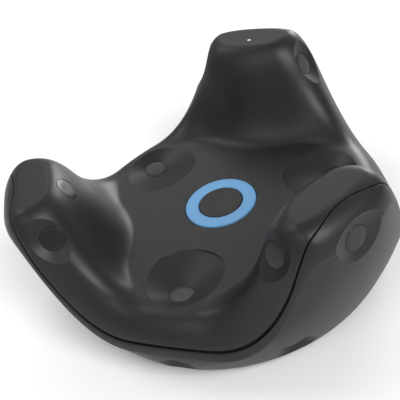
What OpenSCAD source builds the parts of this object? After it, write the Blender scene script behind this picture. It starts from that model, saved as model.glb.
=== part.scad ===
// VR tracking puck: a three-horned casing with dimpled infrared windows, one power button,
// a camera thread in its base, and the electronics that it holds.
// Origin at the mouth of the camera thread, +Z up, horns at 90, 210 and 330 degrees.

/* [Casing] */
// Radius over the horn tips
tip_r = 49.8; // [49.0:0.1:50.5]
// Radius in the middle of a valley between two horns
valley_r = 41.6; // [41.0:0.1:42.0]
// Radius of the arc that bounds each valley in plan
valley_arc_r = 90.1; // [80:0.1:100]
// Height of the flat top plate above the base
plate_z = 19.8; // [19.6:0.1:20.0]
// Height of a horn's crest above the plate
crest_h = 22.5; // [22.2:0.1:22.8]
// Wall thickness of both shells
wall = 2.0; // [1.8:0.1:2.2]

/* [Horns] */
// Distance from the axis to the foot of a horn's inner face
face_foot = 25; // [24.5:0.1:25.5]
// Slope of a horn's inner face
face_slope = 68; // [66:0.5:70]
// Half width of a horn at its crest
horn_half_w = 12.6; // [12.2:0.1:13]
// How far the inner face bows back, per square millimetre off its middle
face_bow = 0.0183; // [0.016:0.0005:0.02]
// Slope of a horn's flanks
flank_slope = 69; // [67:0.5:71]
// Width of the rounding along the outer rim
rim_w = 6; // [5.6:0.1:6.4]
// Drop of the rounding along the outer rim
rim_drop = 6.6; // [6.2:0.1:7.0]

/* [Lower body] */
// Radius of the bowl level with the top plate
bowl_r_high = 46.3; // [46.0:0.1:46.6]
// Radius of the bowl near its foot
bowl_r_low = 38.5; // [38:0.1:39]
// Distance between the two heights where those radii are taken
bowl_rise = 17; // [16:0.5:17.5]
// Radius of the bowl's side profile
bowl_arc_r = 80.4; // [70:0.1:90]
// Draft of the horns' outer faces
outer_draft = 6.1; // [5:0.1:7]
// Radius of the rounding at the foot
foot_r = 3.2; // [2.8:0.1:3.6]

/* [Infrared windows] */
// Radius of a window in the top and the horns
window_r = 2.9; // [2.6:0.1:3.0]
// Thickness of a window
window_t = 1.0; // [0.9:0.1:1.2]
// Slope of a dimple's cone from its floor
dimple_slope = 20; // [18:1:24]
// Radius of a window in the skirt
skirt_window_r = 2.5; // [2.2:0.1:2.7]
// Slope of a skirt dimple's cone
skirt_slope = 26; // [24:1:30]
// Height of the skirt windows above the base
skirt_z = 6.2; // [6:0.1:6.8]

/* [Power button] */
// Outer radius of the pale ring
ring_r = 9.0; // [8.5:0.1:9.5]
// Radius of the dark centre
cap_r = 5.6; // [5:0.1:6]
// Travel of the button
travel = 0.4; // [0.3:0.05:0.4]
// Height of the button above the plate
button_proud = 0.3; // [0.2:0.05:0.4]

/* [Mounting] */
// Radius of the tapped hole of the 1/4 inch camera thread
thread_r = 2.6; // [2.55:0.01:2.65]
// Depth of the camera thread
thread_depth = 6.0; // [5.5:0.1:6.2]
// Radius of the stabiliser-pin recess
pin_r = 2.25; // [2.2:0.01:2.3]
// Distance from the thread to the stabiliser-pin recess
pin_y = 14; // [13.5:0.1:14.5]

/* [Hidden] */
eps = 0.01;
horns = 3;
pitch = 360 / horns;
windows_per_horn = 7;
// One more window sits flush in the inner face of the second horn
face_window = 7;
face_window_sector = 1;
windows = horns * windows_per_horn + 1;
// Facets: steps round the casing, from the centre to the seam, over the rim, and down the wall
steps_round = 84;
steps_top = 12;
steps_rim = 4;
steps_wall = 10;
fn_hull = 32;
fn_dimple = 24;
fn_cup = 16;
fn_round = 96;

// Widths over which the casing's faces blend into each other
blend_outline = 2.5;
blend_crest = 8;
blend_corner = 16;
blend_face_foot = 9;
blend_flank_foot = 21;
// Height difference over which a horn's foot changes from one to the other
blend_along = 60;
// Distance off a horn's middle at which its inner face stops bowing back
bow_reach = 20;
blend_bowl = 1;
// The plate's fall towards the rim
fall_from = 33.2;
fall_h = 10;
// Distance of the seam from the outline: in the valleys, and at the middle of a horn
seam_inset = 0.42;
seam_inset_horn = 4.6;
seam_half_angle = 20;
seam_gap = 0.3;

shell_base_z = 0.2;
floor_z = shell_base_z + wall;
ceiling_z = plate_z - wall;
dimple_rise = 3.2;
skirt_depth = 1.5;
cup_wall = 1.2;
cup_flare = 2.4;
window_proud = 0.05;
pocket_depth = window_t - window_proud;
cup_depth = pocket_depth + cup_wall;
sensor_t = 0.8;
sensor_inset = 0.3;
fit = 0.05;

pad_in_r = 24.5;
pad_out_r = 32;
pad_t = 1.2;
plate_r = 20;
flange_r = 23.4;
flange_t = 1;
flange_top = floor_z + flange_t;
bush_r = 5;
bush_flange_r = 7.5;
bush_h = thread_depth + 0.5;
pin_depth = 4.5;
screw_ring_r = 27;
screw_r = 0.9;
screw_head_r = 2.0;
screw_seat_z = 2.8;
screw_top = 12.8;
boss_r = 2.8;
pogo_y = -13.5;
pogo_size = [13, 3.6];
pogo_pitch = 2;
pogo_count = 6;
usb_z = 10;
usb_size = [8.94, 3.26];
usb_wall = 0.3;
usb_mouth = 41.2;
usb_depth = 7.4;

tray_z = 6.7;
tray_t = 1;
tray_r = 23.6;
tray_top = tray_z + tray_t;
cell_pad_t = 0.5;
cell_size = [34, 25, 3];
cell_z = tray_top + cell_pad_t;
board_z = usb_z + usb_size[1] / 2;
board_t = 1.2;
board_r = 24;
board_top = board_z + board_t;
stand_r = 21;
stand_angles = [90, 225, 315];
lead_bend_r = 2.1;
lead_r = 0.45;

switch_h = 1.4;
dome_pressed_h = 0.2;
dome_h = dome_pressed_h + travel;
plunger_h = 0.7;
dome_z = board_top + switch_h;
plunger_z = dome_z + dome_h;
stem_z = plunger_z + plunger_h;
stem_r = 1.6;
stem_flange_t = 0.9;
button_z = ceiling_z - 0.1;

led_u = 39.5;
led_z = 31.35;
led_h = 0.6;
pipe_neck_z = 37.6;
flex_t = 0.3;

// ---- The casing's outer surface ----

function clamp01(t) = min(max(t, 0), 1);

// Smooth minimum and maximum of two values, blended over the width k
function smin(a, b, k) =
    let (h = clamp01(0.5 + 0.5 * (b - a) / k))
    b * (1 - h) + a * h - k * h * (1 - h);
function smax(a, b, k) = -smin(-a, -b, k);

// Signed angle from the nearest horn's middle, -60 to 60
function horn_angle(a) =
    let (t = a - 90 + pitch / 2)
    t - pitch * floor(t / pitch) - pitch / 2;

// Radius of the plan outline
function outline_r(a) =
    let (
        psi = pitch / 2 - abs(horn_angle(a)),
        e = valley_arc_r - valley_r,
        side = sqrt(pow(valley_arc_r, 2) - pow(e * sin(psi), 2)) - e * cos(psi)
    )
    smin(side, tip_r, blend_outline);

// Height of the top surface at radius r and angle a
function top_z(r, a) =
    let (
        phi = horn_angle(a),
        u = r * cos(phi),
        v = abs(r * sin(phi)),
        fall = -fall_h * pow(max(r - fall_from, 0) / (tip_r - fall_from), 2),
        bow = face_bow * v * v / (1 + pow(v / bow_reach, 4)),
        inner = (u - face_foot - bow) * tan(face_slope),
        flank = crest_h + (horn_half_w - v) * tan(flank_slope),
        horn = smin(smin(flank, inner, blend_corner), crest_h, blend_crest),
        along = clamp01(0.5 + ((u - face_foot) * tan(face_slope) - flank) / blend_along),
        foot = blend_face_foot + (blend_flank_foot - blend_face_foot) * along * along * (3 - 2 * along),
        d = clamp01((rim_w - outline_r(a) + r) / rim_w)
    )
    plate_z + smax(fall, horn, foot) - rim_drop * (1 - sqrt(1 - d * d));

// Radius of the bowl at height z: an arc through two given points
function bowl_r(z) =
    let (
        chord = [bowl_r_low - bowl_r_high, -bowl_rise],
        len = norm(chord),
        mid = [(bowl_r_low + bowl_r_high) / 2, plate_z - bowl_rise / 2],
        h = sqrt(pow(bowl_arc_r, 2) - pow(len / 2, 2)),
        centre = mid + h * [chord[1], -chord[0]] / len
    )
    centre[0] + sqrt(pow(bowl_arc_r, 2) - pow(z - centre[1], 2));

// Radius of the wall at angle a and height z, below the rim
function wall_r(a, z) =
    let (
        r = outline_r(a),
        edge = top_z(r, a),
        face = r - (edge - z) * tan(outer_draft),
        d = clamp01((shell_base_z + foot_r - z) / foot_r)
    )
    min(r, smin(face, bowl_r(z), blend_bowl)) - foot_r * (1 - sqrt(1 - d * d));

// Radius of the seam between the shells
function seam_r(a) =
    let (t = min(abs(horn_angle(a)) / seam_half_angle, 1))
    outline_r(a) - seam_inset - (seam_inset_horn - seam_inset) * (1 + cos(180 * t)) / 2;

function polar(r, a, z) = [r * cos(a), r * sin(a), z];
function step_angle(j) = 360 * j / steps_round;

// Rings of points: the top from the flat plate to the radius seam_r + shift
function top_rings(shift) = [
    for (i = [0:steps_top]) [
        for (j = [0:steps_round - 1])
            let (a = step_angle(j), t = sin(90 * i / steps_top), r = (seam_r(a) + shift) * (0.45 + 0.55 * t))
            polar(r, a, top_z(r, a))
    ]
];

// The rim, from the seam to the widest outline
function rim_rings(shift) = [
    for (i = [0:steps_rim]) [
        for (j = [0:steps_round - 1])
            let (a = step_angle(j), r0 = seam_r(a) + shift)
            let (r = r0 + (outline_r(a) - r0) * sin(90 * i / steps_rim))
            polar(r, a, top_z(r, a))
    ]
];

// The wall, from the rim to the base
function wall_rings() = [
    for (i = [1:steps_wall]) [
        for (j = [0:steps_round - 1])
            let (
                a = step_angle(j),
                edge = top_z(outline_r(a), a),
                z = shell_base_z + (edge - shell_base_z) * pow(cos(90 * i / steps_wall), 1.3)
            )
            polar(wall_r(a, z), a, z)
    ]
];

// Outward unit normal of a set of rings at ring i, step j
function ring_normal(rings, i, j) =
    let (
        n = len(rings),
        m = steps_round,
        down = rings[min(i + 1, n - 1)][j] - rings[max(i - 1, 0)][j],
        round = rings[i][(j + 1) % m] - rings[i][(j + m - 1) % m],
        c = cross(down, round)
    )
    c / norm(c);

// Outward unit normal of the casing at the seam, which both shells and the gasket share
function seam_normal(j) =
    let (
        a = step_angle(j),
        r = seam_r(a),
        h = 0.1,
        out = (top_z(r + h, a) - top_z(r - h, a)) / (2 * h),
        round = (top_z(r, a + h) - top_z(r, a - h)) / (2 * h * PI / 180 * r),
        n = [-out * cos(a) + round * sin(a), -out * sin(a) - round * cos(a), 1]
    )
    n / norm(n);

// The same rings moved inwards by t, from the last to the first, every k-th one; ring seam_i is the seam's
function inner_rings(rings, t, k, seam_i) = [
    for (i = [len(rings) - 1:-k:0]) [
        for (j = [0:steps_round - 1])
            rings[i][j] - t * (i == seam_i ? seam_normal(j) : ring_normal(rings, i, j))
    ]
];

// Closed skin from a first point, through rings, to a last point
module skin(first, rings, last) {
    n = len(rings);
    m = steps_round;
    points = concat([first], [for (ring = rings) for (p = ring) p], [last]);
    end = 1 + n * m;
    faces = concat(
        [for (j = [0:m - 1]) [0, 1 + (j + 1) % m, 1 + j]],
        [for (i = [0:n - 2]) for (j = [0:m - 1])
            let (a = 1 + i * m + j, b = 1 + i * m + (j + 1) % m) [a, b, b + m]],
        [for (i = [0:n - 2]) for (j = [0:m - 1])
            let (a = 1 + i * m + j, b = 1 + i * m + (j + 1) % m) [a, b + m, a + m]],
        [for (j = [0:m - 1]) [end, end - m + j, end - m + (j + 1) % m]]
    );
    polyhedron(points, faces);
}

// Closed band through rings, the last of which joins the first
module band(rings) {
    n = len(rings);
    m = steps_round;
    points = [for (ring = rings) for (p = ring) p];
    corner = [for (i = [0:n - 1]) for (j = [0:m - 1])
        [i * m + j, i * m + (j + 1) % m, (i + 1) % n * m + (j + 1) % m, (i + 1) % n * m + j]];
    polyhedron(points, concat([for (c = corner) [c[0], c[1], c[2]]], [for (c = corner) [c[0], c[2], c[3]]]));
}

// ---- Where the infrared windows sit ----

// Window k of a horn's sector: [place of the dimple's floor, outward direction]
function window_place(sector, k) =
    let (
        horn = 90 + pitch * sector,
        side = k == 2 || k == 6 ? -1 : 1,
        skirt_a = k == 4 ? horn + pitch / 2 : horn + side * 20,
        skirt_dir = [cos(26), -sin(26)]
    )
    k == 0 ? let (a = horn + pitch / 2, t = -8)
        [polar(29, a, plate_z - 2), polar(sin(t), a, cos(t))] :
    k == 1 || k == 2 ?
        [turn([38.6, side * 13.7, plate_z + 15.2], horn), turn([0, side * 0.90, 0.44], horn)] :
    k == 3 ? [polar(47.8, horn, plate_z + 14), polar(cos(2), horn, sin(2))] :
    k == face_window ? [turn([33.4, 2, plate_z + 19], horn), turn([-0.85, 0.06, 0.53], horn)] :
        [
            polar(wall_r(skirt_a, skirt_z) - skirt_depth, skirt_a, skirt_z),
            polar(skirt_dir[0], skirt_a, skirt_dir[1])
        ];

function turn(p, a) = [p[0] * cos(a) - p[1] * sin(a), p[0] * sin(a) + p[1] * cos(a), p[2]];

function is_shallow(k) = k > 3;
function radius_of(k) = is_shallow(k) && k != face_window ? skirt_window_r : window_r;
function slope_of(k) = k == face_window ? 80 : is_shallow(k) ? skirt_slope : dimple_slope;

// Puts children with their +Z along a window's outward direction
module at_window(sector, k) {
    place = window_place(sector, k);
    dir = place[1];
    translate(place[0])
        rotate([0, acos(dir[2] / norm(dir)), atan2(dir[1], dir[0])])
            children();
}

// What is cut out above a window: a wide cone, then a steep wall
module dimple(k) {
    foot = radius_of(k) + 0.1;
    brim = foot + dimple_rise / tan(slope_of(k));
    hull() {
        cylinder(r = foot, h = eps, $fn = fn_dimple);
        translate([0, 0, dimple_rise])
            cylinder(r = brim, h = eps, $fn = fn_dimple);
        translate([0, 0, dimple_rise + 5])
            cylinder(r = brim + 3, h = eps, $fn = fn_dimple);
    }
}

// The cup behind a window, which starts inside the shell's wall
module cup(k) {
    r = radius_of(k) + (is_shallow(k) ? cup_wall : cup_flare);
    translate([0, 0, -cup_depth])
        cylinder(r = r, h = cup_depth + (is_shallow(k) ? -0.2 : 1), $fn = fn_cup);
}

// Seat of a window, and the hole through which its sensor looks out
module window_seat(k) {
    r = radius_of(k);
    translate([0, 0, -pocket_depth])
        cylinder(r = r + fit, h = pocket_depth + eps, $fn = fn_dimple);
    translate([0, 0, -cup_depth - 1])
        cylinder(r = r - 0.7, h = cup_depth + 1, $fn = fn_cup);
    translate([0, 0, -cup_depth - sensor_t - 0.4])
        cylinder(r = r - sensor_inset + 0.2, h = sensor_t + 0.4, $fn = fn_cup);
}

// Sector and kind of every horn's windows of the given kinds
function every_horn(ks) = [for (s = [0:horns - 1]) for (k = ks) [s, k]];

// One shell: its skin, with a cup and a dimple at each of its windows
module dimpled(seats) {
    difference() {
        union() {
            children();
            for (w = seats)
                at_window(w[0], w[1]) cup(w[1]);
        }
        for (w = seats)
            at_window(w[0], w[1]) {
                dimple(w[1]);
                window_seat(w[1]);
            }
    }
}

// ---- Casing ----

module at_case_screws() {
    for (s = [0:horns - 1])
        translate(polar(screw_ring_r, 60 + pitch * s, 0))
            children();
}

module ring(r_out, r_in, h) {
    difference() {
        cylinder(r = r_out, h = h, $fn = fn_round);
        translate([0, 0, -1])
            cylinder(r = r_in, h = h + 2, $fn = fn_round);
    }
}

module stadium(size, h) {
    hull() {
        for (x = [-1, 1])
            translate([x * (size[0] - size[1]) / 2, 0, 0])
                cylinder(r = size[1] / 2, h = h, $fn = fn_hull);
    }
}

// Prism along +Y of the socket's section
module along_y(y) {
    translate([0, y, usb_z]) rotate([-90, 0, 0]) children();
}

module top_shell() {
    color("#2b2b2d")
    difference() {
        dimpled(concat(every_horn([0, 1, 2]), [[face_window_sector, face_window]])) {
            outer = top_rings(-seam_gap / 2);
            skin([0, 0, plate_z], concat(outer, inner_rings(outer, wall, 2, steps_top)), [0, 0, ceiling_z]);
            at_case_screws()
                translate([0, 0, tray_top])
                    cylinder(r = boss_r, h = plate_z - 1 - tray_top, $fn = fn_hull);
        }
        translate([0, 0, ceiling_z - 1])
            cylinder(r = ring_r + 0.12, h = wall + 2, $fn = fn_round);
        at_case_screws()
            cylinder(r = screw_r + fit, h = screw_top + 0.7, $fn = fn_hull);
        translate([0, led_u, plate_z])
            cylinder(r = 0.55, h = crest_h + 5, $fn = fn_hull);
    }
}

module bottom_shell() {
    color("#2b2b2d")
    difference() {
        dimpled(every_horn([3, 4, 5, 6])) {
            outer = concat(rim_rings(seam_gap / 2), wall_rings());
            skin([0, 0, floor_z], concat(inner_rings(outer, wall, 2, 0), outer), [0, 0, shell_base_z]);
            at_case_screws()
                translate([0, 0, pad_t])
                    cylinder(r = boss_r, h = tray_z - pad_t, $fn = fn_hull);
        }
        cylinder(r = plate_r + fit, h = 6, center = true, $fn = fn_round);
        translate([0, 0, pad_t - 2])
            ring(pad_out_r + fit, pad_in_r - fit, 2);
        at_case_screws() {
            cylinder(r = screw_head_r + 0.1, h = screw_seat_z, $fn = fn_hull);
            cylinder(r = screw_r + 0.25, h = tray_z + 1, $fn = fn_hull);
        }
        along_y(36)
            stadium([usb_size[0] + 0.5, usb_size[1] + 0.5], 14);
    }
}

module seam_gasket() {
    color("#0e0e0f") {
        upper = top_rings(0.02 - seam_gap / 2)[steps_top];
        lower = rim_rings(seam_gap / 2 - 0.02)[0];
        depths = [0.8, 1.8];
        over = [for (t = depths) [for (j = [0:steps_round - 1]) upper[j] - t * seam_normal(j)]];
        under = [for (t = depths) [for (j = [0:steps_round - 1]) lower[j] - t * seam_normal(j)]];
        band([over[0], over[1], under[1], under[0]]);
    }
}

module sensor_window(n) {
    sector = n == windows ? face_window_sector : floor((n - 1) / windows_per_horn);
    k = n == windows ? face_window : (n - 1) % windows_per_horn;
    color("#0b0b0d")
    at_window(sector, k)
        translate([0, 0, -pocket_depth])
            cylinder(r = radius_of(k), h = pocket_depth + window_proud, $fn = fn_round);
}

// ---- Underside ----

module base_pad() {
    color("#1c1c1e")
    rotate_extrude($fn = fn_round)
        polygon([
            [pad_in_r, pad_t], [pad_in_r, 0.3], [pad_in_r + 0.3, 0],
            [pad_out_r - 0.3, 0], [pad_out_r, 0.3], [pad_out_r, pad_t]
        ]);
}

module mount_plate() {
    color("#2a2a2c")
    difference() {
        union() {
            translate([0, 0, shell_base_z])
                cylinder(r = plate_r, h = wall, $fn = fn_round);
            translate([0, 0, floor_z])
                cylinder(r = flange_r, h = flange_t, $fn = fn_round);
            translate([0, pin_y, floor_z])
                cylinder(r = pin_r + 1.2, h = pin_depth - wall + 0.8, $fn = fn_round);
        }
        translate([0, 0, -1])
            cylinder(r = bush_r + fit, h = 6, $fn = fn_round);
        translate([0, pin_y, shell_base_z - 1])
            cylinder(r = pin_r, h = pin_depth + 1, $fn = fn_round);
        translate([-pogo_size[0] / 2 - fit, pogo_y - pogo_size[1] / 2 - fit, -1])
            cube([pogo_size[0] + 2 * fit, pogo_size[1] + 2 * fit, 6]);
    }
}

module tripod_bush() {
    color("#b9bcc0")
    difference() {
        union() {
            cylinder(r = bush_r, h = bush_h, $fn = fn_round);
            translate([0, 0, flange_top])
                cylinder(r = bush_flange_r, h = 1, $fn = fn_round);
        }
        translate([0, 0, -1])
            cylinder(r = thread_r, h = thread_depth + 1, $fn = fn_round);
    }
}

module at_pogo_pads() {
    for (i = [0:pogo_count - 1])
        translate([(i - (pogo_count - 1) / 2) * pogo_pitch, pogo_y, 0])
            children();
}

module pogo_block() {
    color("#161617")
    difference() {
        union() {
            translate([-pogo_size[0] / 2, pogo_y - pogo_size[1] / 2, shell_base_z])
                cube([pogo_size[0], pogo_size[1], wall + flange_t]);
            translate([-pogo_size[0] / 2 - 1, pogo_y - pogo_size[1] / 2 - 1, flange_top])
                cube([pogo_size[0] + 2, pogo_size[1] + 2, 0.8]);
        }
        at_pogo_pads()
            cylinder(r = 0.75, h = 6, $fn = fn_hull);
    }
}

module pogo_pads() {
    color("#d8b25a")
    at_pogo_pads() {
        translate([0, 0, shell_base_z])
            cylinder(r = 0.7, h = flange_top + 0.8 - shell_base_z, $fn = fn_hull);
        translate([0, 0, flange_top + 0.8])
            cylinder(r = 0.9, h = 0.4, $fn = fn_hull);
    }
}

module usb_shell() {
    color("#b4b7bb")
    difference() {
        along_y(usb_mouth - usb_depth)
            stadium(usb_size, usb_depth);
        along_y(usb_mouth - usb_depth + usb_wall)
            stadium([usb_size[0] - 2 * usb_wall, usb_size[1] - 2 * usb_wall], usb_depth);
    }
}

module usb_tongue() {
    color("#141415")
    translate([-3.35, usb_mouth - usb_depth + usb_wall, usb_z - 0.35])
        cube([6.7, 5.4, 0.7]);
}

module case_screws() {
    color("#8a8d91")
    at_case_screws()
        difference() {
            union() {
                translate([0, 0, pad_t + 0.1])
                    cylinder(r = screw_head_r, h = screw_seat_z - pad_t - 0.1, $fn = fn_round);
                cylinder(r = screw_r, h = screw_top, $fn = fn_round);
            }
            translate([0, 0, -1])
                cylinder(r = screw_r + 1, h = pad_t + 1.1, $fn = fn_round);
            cylinder(r = 1, h = pad_t + 1, $fn = 6);
        }
}

// ---- Power button ----

module button_ring() {
    color("#69a5d7")
    rotate_extrude($fn = fn_round)
        polygon([
            [cap_r + fit, button_z], [ring_r, button_z], [ring_r, plate_z + button_proud - 0.3],
            [ring_r - 0.3, plate_z + button_proud], [cap_r + fit + 0.2, plate_z + button_proud],
            [cap_r + fit, plate_z + button_proud - 0.2]
        ]);
}

module button_cap() {
    color("#232325")
    rotate_extrude($fn = fn_round)
        polygon([
            [0, button_z], [cap_r, button_z], [cap_r, plate_z + button_proud - 0.3],
            [cap_r - 0.3, plate_z + button_proud], [0, plate_z + button_proud]
        ]);
}

module button_stem() {
    color("#2a2a2c") {
        translate([0, 0, stem_z])
            cylinder(r = stem_r, h = button_z - stem_z - stem_flange_t + eps, $fn = fn_round);
        translate([0, 0, button_z - stem_flange_t])
            cylinder(r = ring_r + 1.2, h = stem_flange_t, $fn = fn_round);
    }
}

module switch_plunger() {
    color("#3a3a3c")
    translate([0, 0, plunger_z])
        cylinder(r = 1.2, h = plunger_h, $fn = fn_round);
}

module switch_dome() {
    color("#c9ccd0")
    translate([0, 0, dome_z])
        cylinder(r1 = 2.2, r2 = 1.4, h = dome_h, $fn = fn_round);
}

module switch_body() {
    color("#1b1b1d")
    translate([-3.1, -3.1, board_top])
        cube([6.2, 6.2, switch_h]);
}

// ---- Electronics ----

module at_stands() {
    for (a = stand_angles)
        translate(polar(stand_r, a, 0))
            children();
}

module inner_frame() {
    color("#3b3c3f")
    difference() {
        union() {
            translate([0, 0, tray_z])
                cylinder(r = tray_r, h = tray_t, $fn = fn_round);
            at_stands()
                translate([0, 0, flange_top])
                    cylinder(r = 2, h = board_z - flange_top, $fn = fn_round);
            at_case_screws()
                translate([0, 0, tray_z])
                    cylinder(r = boss_r, h = tray_t, $fn = fn_round);
            for (s = [0:horns - 1])
                rotate([0, 0, 60 + pitch * s])
                    translate([tray_r - 2, -2, tray_z + 0.1])
                        cube([screw_ring_r - tray_r + 2, 4, tray_t - 0.2]);
        }
        at_stands()
            translate([0, 0, board_z - 4])
                cylinder(r = 0.8, h = 5, $fn = fn_round);
        at_case_screws()
            cylinder(r = screw_r + 0.25, h = 10, $fn = fn_round);
    }
}

module battery_pad() {
    color("#4b4b4d")
    translate([-cell_size[0] / 2, -12, tray_top])
        cube([cell_size[0], 24, cell_pad_t]);
}

module battery_cell() {
    color("#a9acb0")
    translate([-cell_size[0] / 2, -cell_size[1] / 2, cell_z])
        cube(cell_size);
}

module battery_lead() {
    x = -cell_size[0] / 2;
    z = cell_z + cell_size[2] / 2 + lead_bend_r;
    color("#a3302a") {
        for (y = [-0.8, 0.8])
            translate([x, y, z])
                rotate([90, 0, 0])
                    rotate([0, 0, 90])
                        rotate_extrude(angle = 180, $fn = fn_hull)
                            translate([lead_bend_r, 0, 0])
                                circle(r = lead_r, $fn = fn_hull);
        translate([x - eps, -2, board_top])
            cube([4.5, 4, 2]);
    }
}

module main_board() {
    color("#1d5a3c")
    difference() {
        translate([0, 0, board_z]) {
            cylinder(r = board_r, h = board_t, $fn = fn_round);
            translate([-6, board_r - 4, 0])
                cube([12, 19, board_t]);
        }
        translate([-board_r - 1, -2.2, board_z - 1])
            cube([board_r + 1 - 18.3, 4.4, board_t + 2]);
        at_stands()
            translate([0, 0, board_z - 1])
                cylinder(r = 0.95, h = board_t + 2, $fn = fn_round);
    }
}

module board_screws() {
    color("#8a8d91")
    at_stands() {
        translate([0, 0, board_top])
            cylinder(r = 1.6, h = 1, $fn = fn_round);
        translate([0, 0, board_z - 3.5])
            cylinder(r = 0.75, h = board_t + 3.5 + eps, $fn = fn_round);
    }
}

module processor() {
    color("#121214")
    translate([-13.5, 4, board_top])
        cube([7, 7, 1]);
}

module rf_shield() {
    color("#b4b7bb")
    translate([5, -2, board_top])
        cube([14, 12, 2.2]);
}

module antenna() {
    color("#d9d6cc")
    translate([-4.5, -21.5, board_top])
        cube([9, 2.5, 1.2]);
}

module light_pipe() {
    color("#d8dce0")
    translate([0, led_u, 0]) {
        translate([0, 0, led_z + led_h])
            cylinder(r = 1.2, h = pipe_neck_z - led_z - led_h, $fn = fn_round);
        translate([0, 0, pipe_neck_z - eps])
            cylinder(r = 0.5, h = top_z(led_u, 90) - pipe_neck_z, $fn = fn_round);
    }
}

module status_led() {
    color("#e8e4c8")
    translate([-0.8, led_u - 0.4, led_z])
        cube([1.6, 0.8, led_h]);
}

// A run of flat ribbon between two points, in a horn's own directions
module run(p, q, size) {
    hull() {
        translate(p) cube(size, center = true);
        translate(q) cube(size, center = true);
    }
}

// Flexible circuit of one horn: a sensor board behind each window, joined by ribbons
module sensor_flex(sector) {
    horn = 90 + pitch * sector;
    flat = [2.4, 2.4, flex_t];
    upright = [flex_t, 3, flex_t];
    back = cup_depth + sensor_t / 2;
    last = sector == face_window_sector ? face_window : windows_per_horn - 1;
    at = [for (k = [0:last])
        let (place = window_place(sector, k), d = place[1] / norm(place[1]))
        turn(place[0] - back * d, -horn)];
    low = [36, 0, 16];
    high = [36, 0, 30];
    led = [led_u, 0, led_z - flex_t / 2];
    under = [led_u, 0, led_z - 1.2];
    color("#7a4a1c") {
        for (k = [0:last])
            at_window(sector, k)
                translate([0, 0, -cup_depth - sensor_t])
                    cylinder(r = radius_of(k) - sensor_inset, h = sensor_t, $fn = fn_cup);
        rotate([0, 0, horn]) {
            run(low, high, upright);
            run(high, under, flat);
            run(under, led, flat);
            run(under, at[3], flat);
            for (side = [1, -1]) {
                bend = [31, side * 11, 14.5];
                run(low, bend, flat);
                run(bend, at[side > 0 ? 5 : 6], flat);
                run(high, at[side > 0 ? 1 : 2], flat);
            }
            run([31, 11, 14.5], at[0], flat);
            run(at[0], at[4], flat);
            if (last == face_window) run(high, at[face_window], flat);
        }
    }
}

top_shell();
bottom_shell();
seam_gasket();
base_pad();
mount_plate();
tripod_bush();
pogo_block();
pogo_pads();
usb_shell();
usb_tongue();
case_screws();
button_ring();
button_cap();
button_stem();
switch_plunger();
switch_dome();
switch_body();
inner_frame();
battery_pad();
battery_cell();
battery_lead();
main_board();
board_screws();
processor();
rf_shield();
antenna();
light_pipe();
status_led();
for (h = [1:horns])
    sensor_flex(h - 1);
for (k = [1:windows])
    sensor_window(k);
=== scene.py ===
import bpy
import numpy as np
from mathutils import Matrix, Vector

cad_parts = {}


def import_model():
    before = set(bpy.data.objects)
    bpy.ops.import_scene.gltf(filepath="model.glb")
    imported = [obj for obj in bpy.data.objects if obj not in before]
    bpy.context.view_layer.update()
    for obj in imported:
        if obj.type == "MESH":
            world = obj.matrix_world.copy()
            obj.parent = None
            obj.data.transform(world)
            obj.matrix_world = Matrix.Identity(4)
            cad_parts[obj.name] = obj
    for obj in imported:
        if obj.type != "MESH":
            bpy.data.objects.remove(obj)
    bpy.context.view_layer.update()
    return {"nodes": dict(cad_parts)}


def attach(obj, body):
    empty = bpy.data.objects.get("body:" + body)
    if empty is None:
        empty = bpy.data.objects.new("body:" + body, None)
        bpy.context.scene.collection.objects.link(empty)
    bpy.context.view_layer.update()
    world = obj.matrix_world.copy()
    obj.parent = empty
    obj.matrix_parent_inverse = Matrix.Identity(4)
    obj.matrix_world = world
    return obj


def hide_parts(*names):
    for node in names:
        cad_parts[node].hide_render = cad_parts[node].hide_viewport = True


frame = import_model()

MM = 0.001

# ---- Dimensions, in millimetres and degrees, as in the CAD ----

TIP_R, VALLEY_R, VALLEY_ARC_R = 49.8, 41.6, 90.1
PLATE_Z, CREST_H, WALL = 19.8, 22.5, 2.0
FACE_FOOT, FACE_SLOPE, FACE_BOW, BOW_REACH = 25, 68, 0.0183, 20
HORN_HALF_W, FLANK_SLOPE = 12.6, 69
RIM_W, RIM_DROP = 6, 6.6
BOWL_HIGH, BOWL_LOW, BOWL_RISE, BOWL_ARC_R = 46.3, 38.5, 17, 80.4
OUTER_DRAFT, FOOT_R = 6.1, 3.2
BLEND_OUTLINE, BLEND_CREST, BLEND_CORNER, BLEND_BOWL = 2.5, 8, 16, 1
BLEND_FACE_FOOT, BLEND_FLANK_FOOT, BLEND_ALONG = 9, 21, 60
FALL_FROM, FALL_H = 33.2, 10
SEAM_INSET, SEAM_INSET_HORN, SEAM_HALF_ANGLE, SEAM_GAP = 0.42, 4.6, 20, 0.22
BASE_Z = 0.2
FLOOR_Z = BASE_Z + WALL
CEILING_Z = PLATE_Z - WALL
WINDOW_R, SKIRT_WINDOW_R, WINDOW_T = 2.9, 2.5, 1.0
WINDOW_PROUD = 0.05
POCKET = WINDOW_T - WINDOW_PROUD
DIMPLE_SLOPE, SKIRT_SLOPE, FACE_SEAT_SLOPE, DIMPLE_RISE = 20, 26, 80, 3.2
SKIRT_Z, SKIRT_DEPTH = 6.2, 1.5
RING_R, CAP_R, PROUD = 9.0, 5.6, 0.3
BUTTON_Z = CEILING_Z - 0.1
HOLE_R = RING_R + 0.12
PAD_IN, PAD_OUT, PAD_T = 24.5, 32, 1.2
PLATE_R, FIT = 20, 0.05
RING_EDGE, CAP_DIP = 0.3, 0.35
LED_U, LED_HOLE_R, LED_HOLE_H = 39.5, 0.55, 6
EDGE = 0.15
VALLEY_WINDOW_R, VALLEY_WINDOW_H, VALLEY_WINDOW_TILT = 29, -2, 8
FLANK_WINDOW_U, FLANK_WINDOW_V, FLANK_WINDOW_H = 38.6, 13.7, 15.2
FLANK_WINDOW_OUT, FLANK_WINDOW_UP = 0.90, 0.44
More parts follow.
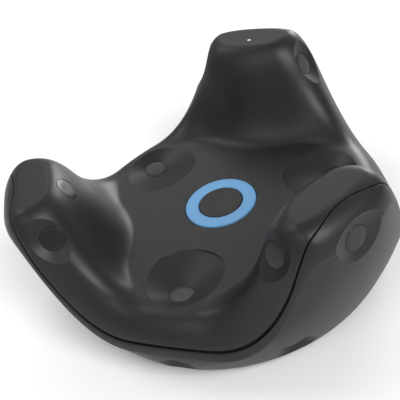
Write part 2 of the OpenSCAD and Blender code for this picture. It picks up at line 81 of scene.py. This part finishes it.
OUTER_WINDOW_R, OUTER_WINDOW_H, OUTER_WINDOW_TILT = 47.8, 14, 2
SKIRT_WINDOW_TURN, SKIRT_WINDOW_TILT = 20, 26
FACE_WINDOW, FACE_WINDOW_H, FACE_WINDOW_WAY = (33.4, 2), 19, (-0.85, 0.06, 0.53)
BOSS_REACH, BOSS_BLEND, BOSS_T, BOSS_DEPTH = 4.2, 2.6, 2.2, 8
SEAM_LAND, SEAL_FROM, SEAL_TO, SEAL_GAP = 1.0, 0.8, 1.8, 0.02
SOCKET_W, SOCKET_H, SOCKET_Z = 9.44, 3.76, 10
SOCKET_FROM, SOCKET_TO = 36, 50

HORNS = (90, 210, 330)
STEPS = 540
ANGLES = np.arange(STEPS) * 360 / STEPS


def sin(t):
    return np.sin(np.radians(t))


def cos(t):
    return np.cos(np.radians(t))


def tan(t):
    return np.tan(np.radians(t))


# ---- The casing's outer surface ----

def smin(a, b, k):
    h = np.clip(0.5 + 0.5 * (b - a) / k, 0, 1)
    return b * (1 - h) + a * h - k * h * (1 - h)


def smax(a, b, k):
    return -smin(-a, -b, k)


def horn_angle(a):
    t = a - 90 + 60
    return t - 120 * np.floor(t / 120) - 60


def outline_r(a):
    psi = 60 - np.abs(horn_angle(a))
    e = VALLEY_ARC_R - VALLEY_R
    side = np.sqrt(VALLEY_ARC_R ** 2 - (e * sin(psi)) ** 2) - e * cos(psi)
    return smin(side, TIP_R, BLEND_OUTLINE)


def top_z(r, a):
    phi = horn_angle(a)
    u, v = r * cos(phi), np.abs(r * sin(phi))
    fall = -FALL_H * (np.maximum(r - FALL_FROM, 0) / (TIP_R - FALL_FROM)) ** 2
    bow = FACE_BOW * v * v / (1 + (v / BOW_REACH) ** 4)
    inner = (u - FACE_FOOT - bow) * tan(FACE_SLOPE)
    flank = CREST_H + (HORN_HALF_W - v) * tan(FLANK_SLOPE)
    horn = smin(smin(flank, inner, BLEND_CORNER), CREST_H, BLEND_CREST)
    along = np.clip(0.5 + ((u - FACE_FOOT) * tan(FACE_SLOPE) - flank) / BLEND_ALONG, 0, 1)
    along = along * along * (3 - 2 * along)
    foot = BLEND_FACE_FOOT + (BLEND_FLANK_FOOT - BLEND_FACE_FOOT) * along
    d = np.clip((RIM_W - outline_r(a) + r) / RIM_W, 0, 1)
    return PLATE_Z + smax(fall, horn, foot) - RIM_DROP * (1 - np.sqrt(1 - d * d))


def bowl_r(z):
    chord = np.array([BOWL_LOW - BOWL_HIGH, -BOWL_RISE])
    length = np.linalg.norm(chord)
    mid = np.array([(BOWL_LOW + BOWL_HIGH) / 2, PLATE_Z - BOWL_RISE / 2])
    h = np.sqrt(BOWL_ARC_R ** 2 - (length / 2) ** 2)
    centre = mid + h * np.array([chord[1], -chord[0]]) / length
    return centre[0] + np.sqrt(BOWL_ARC_R ** 2 - (z - centre[1]) ** 2)


def wall_r(a, z):
    r = outline_r(a)
    face = r - (top_z(r, a) - z) * tan(OUTER_DRAFT)
    d = np.clip((BASE_Z + FOOT_R - z) / FOOT_R, 0, 1)
    return np.minimum(r, smin(face, bowl_r(z), BLEND_BOWL)) - FOOT_R * (1 - np.sqrt(1 - d * d))


def seam_r(a):
    t = np.minimum(np.abs(horn_angle(a)) / SEAM_HALF_ANGLE, 1)
    return outline_r(a) - SEAM_INSET - (SEAM_INSET_HORN - SEAM_INSET) * (1 + cos(180 * t)) / 2


def polar(r, a, z):
    return np.stack(np.broadcast_arrays(r * cos(a), r * sin(a), z), -1).astype(float)


def on_top(r):
    return polar(r, ANGLES, top_z(r, ANGLES))


def flat_ring(r, z):
    return polar(r, ANGLES, z)


def normals(rings):
    """Outward unit normals of rings that run from the inside out and down."""
    down = np.gradient(rings, axis=0)
    around = (np.roll(rings, -1, axis=1) - np.roll(rings, 1, axis=1)) / 2
    c = np.cross(down, around)
    return c / np.linalg.norm(c, axis=2, keepdims=True)


def seam_normals():
    """Outward unit normals of the casing along the seam."""
    r, h = seam_r(ANGLES), 0.1
    out = (top_z(r + h, ANGLES) - top_z(r - h, ANGLES)) / (2 * h)
    around = (top_z(r, ANGLES + h) - top_z(r, ANGLES - h)) / (2 * np.radians(h) * r)
    n = np.stack([-out * cos(ANGLES) + around * sin(ANGLES),
                  -out * sin(ANGLES) - around * cos(ANGLES), np.ones(STEPS)], -1)
    return n / np.linalg.norm(n, axis=1, keepdims=True)


# ---- Infrared windows ----

def turn(p, a):
    x, y, z = p
    return np.array([x * cos(a) - y * sin(a), x * sin(a) + y * cos(a), z])


def window_places():
    """(floor, outward direction, radius, slope of the cone, shell) of windows 1 to 22."""
    places = []
    for horn in HORNS:
        valley = horn + 60
        tilt = VALLEY_WINDOW_TILT
        places.append((polar(VALLEY_WINDOW_R, valley, PLATE_Z + VALLEY_WINDOW_H),
                       polar(-sin(tilt), valley, cos(tilt)), "top"))
        for side in (1, -1):
            places.append((turn((FLANK_WINDOW_U, side * FLANK_WINDOW_V, PLATE_Z + FLANK_WINDOW_H), horn),
                           turn((0, side * FLANK_WINDOW_OUT, FLANK_WINDOW_UP), horn), "top"))
        tilt = OUTER_WINDOW_TILT
        places.append((polar(OUTER_WINDOW_R, horn, PLATE_Z + OUTER_WINDOW_H),
                       polar(cos(tilt), horn, sin(tilt)), "bottom"))
        tilt = SKIRT_WINDOW_TILT
        for a in (valley, horn + SKIRT_WINDOW_TURN, horn - SKIRT_WINDOW_TURN):
            places.append((polar(wall_r(a, SKIRT_Z) - SKIRT_DEPTH, a, SKIRT_Z),
                           polar(cos(tilt), a, -sin(tilt)), "skirt"))
    out = []
    for floor, way, shell in places:
        skirt = shell == "skirt"
        out.append((floor, way / np.linalg.norm(way), SKIRT_WINDOW_R if skirt else WINDOW_R,
                    SKIRT_SLOPE if skirt else DIMPLE_SLOPE, "bottom" if skirt else shell))
    out.append((turn((*FACE_WINDOW, PLATE_Z + FACE_WINDOW_H), HORNS[1]), turn(FACE_WINDOW_WAY, HORNS[1]),
                WINDOW_R, FACE_SEAT_SLOPE, "top"))
    return out


WINDOWS = window_places()


# ---- Mesh helpers ----

def new_piece(name, verts, faces, sharp=None):
    mesh = bpy.data.meshes.new(name)
    mesh.from_pydata([tuple(v) for v in np.asarray(verts) * MM], [], faces)
    mesh.validate()
    piece = bpy.data.objects.new(name, mesh)
    bpy.context.scene.collection.objects.link(piece)
    if sharp is not None:
        shade(piece, sharp)
    return piece


def shade(piece, sharp):
    piece.data.shade_smooth()
    piece.data.set_sharp_from_angle(angle=np.radians(sharp))


def band(name, rings):
    """A closed band through rings of points, the last of which joins the first."""
    rings = np.asarray(rings)
    n, m = rings.shape[:2]
    i, j = np.meshgrid(np.arange(n), np.arange(m), indexing="ij")
    a, b = i * m + j, i * m + (j + 1) % m
    c, d = (i + 1) % n * m + (j + 1) % m, (i + 1) % n * m + j
    quads = np.stack([a, d, c, b], -1).reshape(-1, 4)
    return new_piece(name, rings.reshape(-1, 3), quads.tolist())


def lathe(name, profile, segments=128, sharp=30):
    """A solid of revolution from (radius, height) points, which end on the axis or form a closed loop."""
    verts, faces, rows = [], [], []
    for r, z in profile:
        if r == 0:
            rows.append([len(verts)] * segments)
            verts.append((0, 0, z))
        else:
            rows.append(list(range(len(verts), len(verts) + segments)))
            turns = [360 * s / segments for s in range(segments)]
            verts += [(r * cos(q), r * sin(q), z) for q in turns]
    pairs = list(zip(rows, rows[1:]))
    if profile[0][0] != 0:
        pairs.append((rows[-1], rows[0]))
    for low, high in pairs:
        for s in range(segments):
            t = (s + 1) % segments
            face = [low[s], low[t], high[t], high[s]]
            faces.append([v for k, v in enumerate(face) if v not in face[:k]])
    return new_piece(name, verts, faces, sharp)


def placed(piece, at, way):
    """Puts a piece's +Z along a direction, at a place, in its mesh."""
    turned = Vector(way).to_track_quat("Z", "Y").to_matrix().to_4x4()
    piece.data.transform(Matrix.Translation(Vector(at) * MM) @ turned)
    return piece


def cut(piece, cutter):
    mod = piece.modifiers.new("cut", "BOOLEAN")
    mod.operation, mod.solver, mod.object = "DIFFERENCE", "MANIFOLD", cutter
    depsgraph = bpy.context.evaluated_depsgraph_get()
    mesh = bpy.data.meshes.new_from_object(piece.evaluated_get(depsgraph))
    piece.modifiers.remove(mod)
    old, piece.data = piece.data, mesh
    bpy.data.meshes.remove(old)
    bpy.data.objects.remove(cutter)
    return piece


# ---- Casing ----

def thickness(points):
    """Wall thickness under points of the outer surface: more behind each window."""
    t = np.full(points.shape[:2], WALL)
    for floor, way, r, slope, shell in WINDOWS:
        rel = points - floor
        h = rel @ way
        rho = np.linalg.norm(rel - h[..., None] * way, axis=2)
        near = np.clip((r + BOSS_REACH - rho) / BOSS_BLEND, 0, 1) * (np.abs(h) < BOSS_DEPTH)
        t = np.maximum(t, WALL + BOSS_T * near * near * (3 - 2 * near))
    return t


def inner_rings(rings, every, seam):
    """The inside of a shell: every so many rings, with ring number seam moved in along the seam's normal."""
    n = normals(rings)
    n[seam] = seam_normals()
    inside = rings - thickness(rings)[..., None] * n
    keep = list(range(len(rings) - 1, -1, -every))
    return [inside[k] for k in keep]


def build_top():
    last = seam_r(ANGLES) - SEAM_GAP / 2
    first = HOLE_R + EDGE
    share = np.concatenate([np.linspace(0, 0.34, 6)[:-1], np.linspace(0.34, 0.9, 56)[:-1],
                            np.linspace(0.9, 1, 16)])
    outer = np.array([on_top(first + (last - EDGE - first) * t) for t in share])
    n = seam_normals()
    turns = (30, 60, 90)
    mouth = [flat_ring(HOLE_R, CEILING_Z), flat_ring(HOLE_R, PLATE_Z - EDGE)]
    mouth += [flat_ring(first - EDGE * cos(q), PLATE_Z - EDGE * (1 - sin(q))) for q in (30, 60)]
    lip = [on_top(last - EDGE * (1 - sin(q))) - n * EDGE * (1 - cos(q)) for q in turns]
    side = [on_top(last) - n * t for t in (SEAM_LAND, WALL)]
    return band("shell_top", mouth + list(outer) + lip + side + inner_rings(outer, 4, -1)[1:])


def build_bottom():
    rim = outline_r(ANGLES)
    first = seam_r(ANGLES) + SEAM_GAP / 2
    outer = [on_top(first + EDGE + (rim - first - EDGE) * sin(q)) for q in np.linspace(0, 90, 13)]
    edge = top_z(rim, ANGLES)
    foot = BASE_Z + FOOT_R
    for t in np.linspace(0, 1, 68)[1:]:
        z = edge + (foot - edge) * t
        outer.append(polar(wall_r(ANGLES, z), ANGLES, z))
    for q in np.linspace(0, 90, 10)[1:]:
        z = foot - FOOT_R * sin(q)
        outer.append(polar(wall_r(ANGLES, z), ANGLES, z))
    outer = np.array(outer)
    n = seam_normals()
    lip = [on_top(first + EDGE * (1 - sin(q))) - n * EDGE * (1 - cos(q)) for q in (90, 60, 30)]
    side = [on_top(first) - n * t for t in (WALL, SEAM_LAND)]
    base = [flat_ring(r, z) for r, z in (
        (PAD_OUT + FIT, BASE_Z), (PAD_OUT + FIT, PAD_T), (PAD_IN - FIT, PAD_T),
        (PAD_IN - FIT, BASE_Z), (PLATE_R + FIT, BASE_Z), (PLATE_R + FIT, FLOOR_Z))]
    return band("shell_bottom", side + lip + list(outer) + base + inner_rings(outer, 4, 0)[:-1])


def dimple_cutter(floor, way, r, slope):
    foot = r + 0.1
    brim = foot + DIMPLE_RISE / tan(slope)
    profile = [(0, -POCKET), (r + FIT, -POCKET), (r + FIT, 0), (foot, 0), (brim, DIMPLE_RISE),
               (brim + 3, DIMPLE_RISE + 5), (0, DIMPLE_RISE + 5)]
    return placed(lathe("cutter", profile), floor, way)


def window(k, floor, way, r):
    e = 0.1
    profile = [(0, -POCKET), (r, -POCKET), (r, WINDOW_PROUD - e)]
    profile += [(r - e + e * cos(q), WINDOW_PROUD - e + e * sin(q)) for q in (30, 60, 90)]
    profile += [(r * 0.5, WINDOW_PROUD), (0, WINDOW_PROUD)]
    return placed(lathe(f"window_{k}", profile, sharp=50), floor, way)


def build_gasket():
    n = seam_normals()
    half = SEAM_GAP / 2 - SEAL_GAP
    upper, lower = on_top(seam_r(ANGLES) - half), on_top(seam_r(ANGLES) + half)
    depths = (SEAL_TO, SEAL_FROM)
    return band("seal", [upper - t * n for t in depths] + [lower - t * n for t in reversed(depths)])


def socket_hole():
    """A slot with round ends, from behind the charging socket out through the skirt."""
    r = SOCKET_H / 2
    loop = [(side * (SOCKET_W / 2 - r) + r * cos(q), SOCKET_Z + r * sin(q))
            for side in (1, -1) for q in np.linspace(-90, 90, 17) + (0 if side > 0 else 180)]
    n = len(loop)
    verts = [(x, y, z) for y in (SOCKET_FROM, SOCKET_TO) for x, z in loop]
    sides = [[k, n + k, n + (k + 1) % n, (k + 1) % n] for k in range(n)]
    return new_piece("cutter", verts, sides + [list(range(n)), list(range(2 * n - 1, n - 1, -1))])


def led_hole():
    r, h = LED_HOLE_R, LED_HOLE_H
    hole = lathe("cutter", [(0, -h), (r, -h), (r, h), (0, h)], 32)
    return placed(hole, (0, LED_U, PLATE_Z + CREST_H), (0, 0, 1))


top = build_top()
bottom = build_bottom()
windows = []
for k, (floor, way, r, slope, shell) in enumerate(WINDOWS, 1):
    cut(top if shell == "top" else bottom, dimple_cutter(floor, way, r, slope))
    windows.append(window(k, floor, way, r))
cut(top, led_hole())
cut(bottom, socket_hole())
for piece in (top, bottom):
    shade(piece, 14)
seal = build_gasket()
shade(seal, 40)


# ---- Power button ----

def button_ring():
    e, z = RING_EDGE, PLATE_Z + PROUD
    inside = CAP_R + FIT
    profile = [(inside, BUTTON_Z), (RING_R, BUTTON_Z), (RING_R, z - e)]
    profile += [(RING_R - e + e * cos(q), z - e + e * sin(q)) for q in (22.5, 45, 67.5, 90)]
    profile += [(inside + e - e * sin(q), z - e + e * cos(q)) for q in (0, 30, 60, 90)]
    return lathe("button_band", profile, 192, 40)


def button_cap():
    e, z = RING_EDGE, PLATE_Z + PROUD
    profile = [(0, BUTTON_Z), (CAP_R, BUTTON_Z), (CAP_R, z - e)]
    profile += [(CAP_R - e + e * cos(q), z - e + e * sin(q)) for q in (22.5, 45, 67.5, 90)]
    profile += [(r, z - CAP_DIP * (1 - (r / (CAP_R - e)) ** 2)) for r in (4.6, 3.8, 2.8, 1.4)]
    return lathe("button_dish", profile + [(0, z - CAP_DIP)], 192, 40)


ring = button_ring()
cap = button_cap()


# ---- Materials ----

def material(name, colour, rough, metallic=0.0, grain=0.0, grain_size=0.4, mottle=0.1, rough_var=0.05,
             specular=0.5, coat=0.0, noise_size=6.0, transmission=0.0, second=None):
    """A procedural material: colour varies over noise_size mm, roughness and bump with a fine grain."""
    mat = bpy.data.materials.new(name)
    mat.use_nodes = True
    nodes, links = mat.node_tree.nodes, mat.node_tree.links
    bsdf = nodes["Principled BSDF"]
    bsdf.inputs["Metallic"].default_value = metallic
    bsdf.inputs["Specular IOR Level"].default_value = specular
    bsdf.inputs["Coat Weight"].default_value = coat
    bsdf.inputs["Transmission Weight"].default_value = transmission
    coord = nodes.new("ShaderNodeTexCoord")

    def noise(size_mm, detail):
        node = nodes.new("ShaderNodeTexNoise")
        node.inputs["Scale"].default_value = 1 / (size_mm * MM)
        node.inputs["Detail"].default_value = detail
        links.new(coord.outputs["Object"], node.inputs["Vector"])
        return node

    broad, fine = noise(noise_size, 3), noise(grain_size, 2)
    ramp = nodes.new("ShaderNodeValToRGB")
    other = second or [c * (1 - mottle) for c in colour]
    ramp.color_ramp.elements[0].position, ramp.color_ramp.elements[1].position = 0.3, 0.7
    ramp.color_ramp.elements[0].color = (*other, 1)
    ramp.color_ramp.elements[1].color = (*[c * (1 + mottle) for c in colour], 1)
    links.new(broad.outputs["Fac"], ramp.inputs["Fac"])
    links.new(ramp.outputs["Color"], bsdf.inputs["Base Color"])
    spread = nodes.new("ShaderNodeMapRange")
    spread.inputs["To Min"].default_value = rough - rough_var
    spread.inputs["To Max"].default_value = rough + rough_var
    links.new(fine.outputs["Fac"], spread.inputs["Value"])
    links.new(spread.outputs["Result"], bsdf.inputs["Roughness"])
    if grain:
        bump = nodes.new("ShaderNodeBump")
        bump.inputs["Strength"].default_value = 1.0
        bump.inputs["Distance"].default_value = grain * MM
        links.new(fine.outputs["Fac"], bump.inputs["Height"])
        links.new(bump.outputs["Normal"], bsdf.inputs["Normal"])
    return mat


def dress(piece, mat):
    piece.data.materials.clear()
    piece.data.materials.append(mat)


CASING = material("satin_black", (0.012, 0.012, 0.0125), 0.42, grain=0.012, grain_size=0.35, specular=0.3)
WINDOW = material("infrared_black", (0.011, 0.011, 0.012), 0.30, grain=0.004, grain_size=1.5, specular=0.35)
SEAL = material("seal_rubber", (0.006, 0.006, 0.006), 0.8, grain=0.02, specular=0.2)
BLUE = material("ring_blue", (0.106, 0.285, 0.520), 0.45, grain=0.008, mottle=0.03)
DISH = material("dish_black", (0.011, 0.011, 0.0115), 0.45, grain=0.01, specular=0.35)
RUBBER = material("pad_rubber", (0.018, 0.018, 0.019), 0.75, grain=0.03, grain_size=0.5)
PLATE = material("plate_black", (0.028, 0.028, 0.030), 0.5, grain=0.015, grain_size=0.3)
STEEL = material("turned_steel", (0.60, 0.61, 0.62), 0.28, metallic=1, grain=0.01, grain_size=0.2)
SOCKET = material("drawn_steel", (0.56, 0.57, 0.58), 0.3, metallic=1, grain=0.006, grain_size=0.3)
ZINC = material("zinc_steel", (0.42, 0.43, 0.45), 0.35, metallic=1, grain=0.01, grain_size=0.25)
GOLD = material("plated_gold", (0.80, 0.62, 0.28), 0.25, metallic=1, grain=0.004, grain_size=0.2)
BLOCK = material("block_black", (0.016, 0.016, 0.017), 0.55, grain=0.01)
DOME = material("dome_steel", (0.66, 0.67, 0.68), 0.18, metallic=1, grain=0.002)
FRAME = material("frame_grey", (0.045, 0.046, 0.050), 0.55, grain=0.02)
FOAM = material("foam_grey", (0.070, 0.070, 0.072), 0.9, grain=0.12, grain_size=0.5,
                mottle=0.3, noise_size=0.8)
CELL = material("pouch_foil", (0.55, 0.56, 0.57), 0.38, metallic=0.9, grain=0.06, grain_size=3)
LEAD = material("lead_red", (0.36, 0.04, 0.03), 0.4, grain=0.01)
BOARD = material("solder_mask", (0.018, 0.110, 0.055), 0.32, grain=0.02, grain_size=1.0,
                 second=(0.012, 0.080, 0.040), noise_size=1.6)
CHIP = material("moulded_chip", (0.010, 0.010, 0.012), 0.6, grain=0.015, grain_size=0.15)
SHIELD = material("tinned_can", (0.56, 0.57, 0.58), 0.33, metallic=1, grain=0.01, grain_size=0.6)
CERAMIC = material("glazed_ceramic", (0.66, 0.64, 0.58), 0.3, grain=0.006, mottle=0.04)
PIPE = material("clear_pipe", (0.80, 0.84, 0.86), 0.12, transmission=0.6, mottle=0.03, rough_var=0.03)
LED = material("led_body", (0.80, 0.78, 0.58), 0.3, mottle=0.05)
FLEX = material("polyimide", (0.200, 0.080, 0.020), 0.35, grain=0.01, noise_size=1.2,
                second=(0.140, 0.055, 0.014))

for piece, mat, body, slot, nodes in (
        (top, CASING, "casing", "casing", ["top_shell"]),
        (bottom, CASING, "casing", "casing", ["bottom_shell"]),
        (seal, SEAL, "casing", "seal", ["seam_gasket"]),
        (ring, BLUE, "button", "ring", ["button_ring"]),
        (cap, DISH, "button", "cap", ["button_cap"])):
    dress(piece, mat)
    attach(piece, body)
    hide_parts(*nodes)
for k, piece in enumerate(windows, 1):
    dress(piece, WINDOW)
    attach(piece, "casing")
    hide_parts(f"sensor_window_{k}")

KEPT = {
    RUBBER: ["base_pad"], PLATE: ["mount_plate", "button_stem"], STEEL: ["tripod_bush"],
    BLOCK: ["pogo_block", "usb_tongue", "switch_plunger", "switch_body"], GOLD: ["pogo_pads"],
    SOCKET: ["usb_shell"], ZINC: ["case_screws", "board_screws"], DOME: ["switch_dome"],
    FRAME: ["inner_frame"], FOAM: ["battery_pad"], CELL: ["battery_cell"], LEAD: ["battery_lead"],
    BOARD: ["main_board"], CHIP: ["processor"], SHIELD: ["rf_shield"], CERAMIC: ["antenna"],
    PIPE: ["light_pipe"], LED: ["status_led"], FLEX: [f"sensor_flex_{h}" for h in (1, 2, 3)],
}
for mat, names in KEPT.items():
    for name in names:
        dress(frame["nodes"][name], mat)


# ---- Floor, light and camera ----

FLOOR_HALF = 3000
SENSOR, FRAME = 36, 400
LIGHT_AIM = Vector((0, 0, 0.02))


def stage_floor():
    s = FLOOR_HALF
    floor = new_piece("floor", [(-s, -s, 0), (s, -s, 0), (s, s, 0), (-s, s, 0)], [[0, 1, 2, 3]])
    dress(floor, material("pale_floor", (0.86, 0.86, 0.86), 0.9, mottle=0.004, noise_size=200, specular=0.1))


def area_light(name, azimuth, elevation, distance, size, power):
    """A round light that faces the object; azimuth and elevation in degrees, distance and size in metres."""
    data = bpy.data.lights.new(name, "AREA")
    data.shape, data.size, data.energy = "DISK", size, power
    light = bpy.data.objects.new(name, data)
    way = Vector((sin(azimuth) * cos(elevation), -cos(azimuth) * cos(elevation), sin(elevation)))
    light.location = way * distance + LIGHT_AIM
    light.rotation_euler = way.to_track_quat("Z", "Y").to_euler()
    bpy.context.scene.collection.objects.link(light)


def camera():
    """The photograph's camera: degrees, millimetres, and the focal length in 400ths of the frame."""
    azimuth, elevation, roll = 32.14, 37.654, 18.454
    distance, shift_x, shift_y, focal = 206.938, -4.69, 2.255, 831.467
    back = Vector((sin(azimuth) * cos(elevation), -cos(azimuth) * cos(elevation), sin(elevation)))
    right = Vector((cos(azimuth), sin(azimuth), 0))
    up = back.cross(right)
    x_axis = right * cos(roll) - up * sin(roll)
    y_axis = right * sin(roll) + up * cos(roll)
    data = bpy.data.cameras.new("camera")
    data.sensor_width, data.lens = SENSOR, SENSOR * focal / FRAME
    data.clip_start, data.clip_end = 0.01, 50
    cam = bpy.data.objects.new("camera", data)
    place = (back * distance + right * shift_x + up * shift_y + Vector((0, 0, PLATE_Z))) * MM
    turned = Matrix((x_axis, y_axis, back)).transposed().to_4x4()
    cam.matrix_world = Matrix.Translation(place) @ turned
    bpy.context.scene.collection.objects.link(cam)
    bpy.context.scene.camera = cam


def world(colour, strength):
    sky = bpy.data.worlds.new("world")
    sky.use_nodes = True
    back = sky.node_tree.nodes["Background"]
    back.inputs["Color"].default_value = (*colour, 1)
    back.inputs["Strength"].default_value = strength
    bpy.context.scene.world = sky


stage_floor()
world((1, 1, 1), 0.35)
bpy.context.scene.view_settings.view_transform = "Standard"
area_light("key", 60, 42, 1.3, 0.7, 14)
area_light("front", -12, 40, 1.3, 0.7, 3)
area_light("left", -95, 50, 1.3, 0.7, 4)
area_light("back", 175, 14, 1.3, 0.6, 10)
area_light("rear", 210, 40, 1.3, 0.7, 2)
camera()
